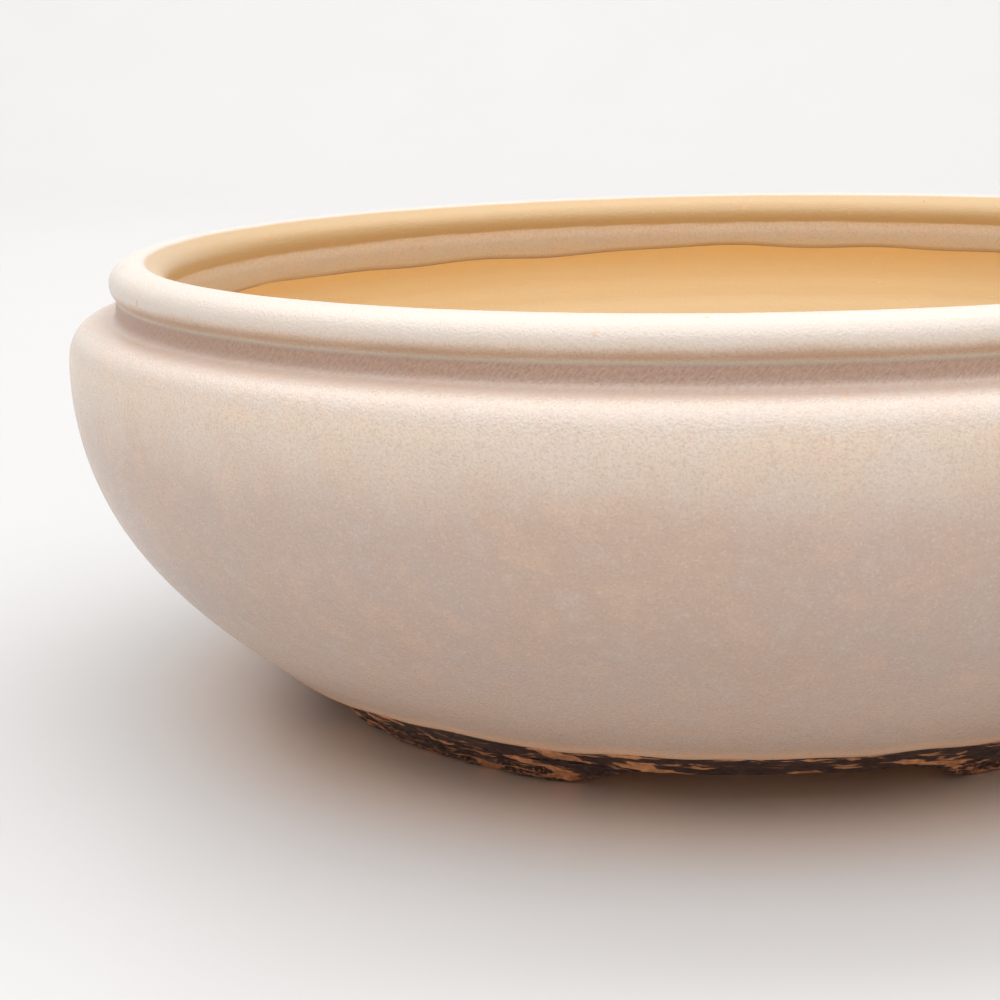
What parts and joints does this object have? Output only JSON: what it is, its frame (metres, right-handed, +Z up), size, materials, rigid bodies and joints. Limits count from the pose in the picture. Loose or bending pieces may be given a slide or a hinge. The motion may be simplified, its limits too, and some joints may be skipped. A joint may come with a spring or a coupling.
{
  "type": "bonsai pot",
  "caption": "Round shallow ceramic pot for a small tree: bellied bowl with rolled rim, cream glaze outside, bare clay inside, low feet, drain and tie holes.",
  "frame": {"origin": "on the table, under the centre of the pot", "axes": "+Z up along the pot's axis; the front, one gap between the feet, faces -Y; +X to the right"},
  "size_m": [0.18, 0.18, 0.0604],
  "materials": {
    "cream_glaze": "gloss",
    "bare_clay": "matte",
    "base_clay": "satin",
    "black_mesh": "matte",
    "clip_wire": "satin"
  },
  "bodies": {
    "root": {"base_slab": "base_clay", "bowl_wall": "bare_clay", "rim_roll": "bare_clay", "front_left_foot": "base_clay", "front_right_foot": "base_clay", "rear_foot": "base_clay", "glaze_coat": "cream_glaze", "front_screen": "black_mesh", "rear_left_screen": "black_mesh", "rear_right_screen": "black_mesh", "front_clip": "clip_wire", "rear_left_clip": "clip_wire", "rear_right_clip": "clip_wire"}
  },
  "joints": []
}
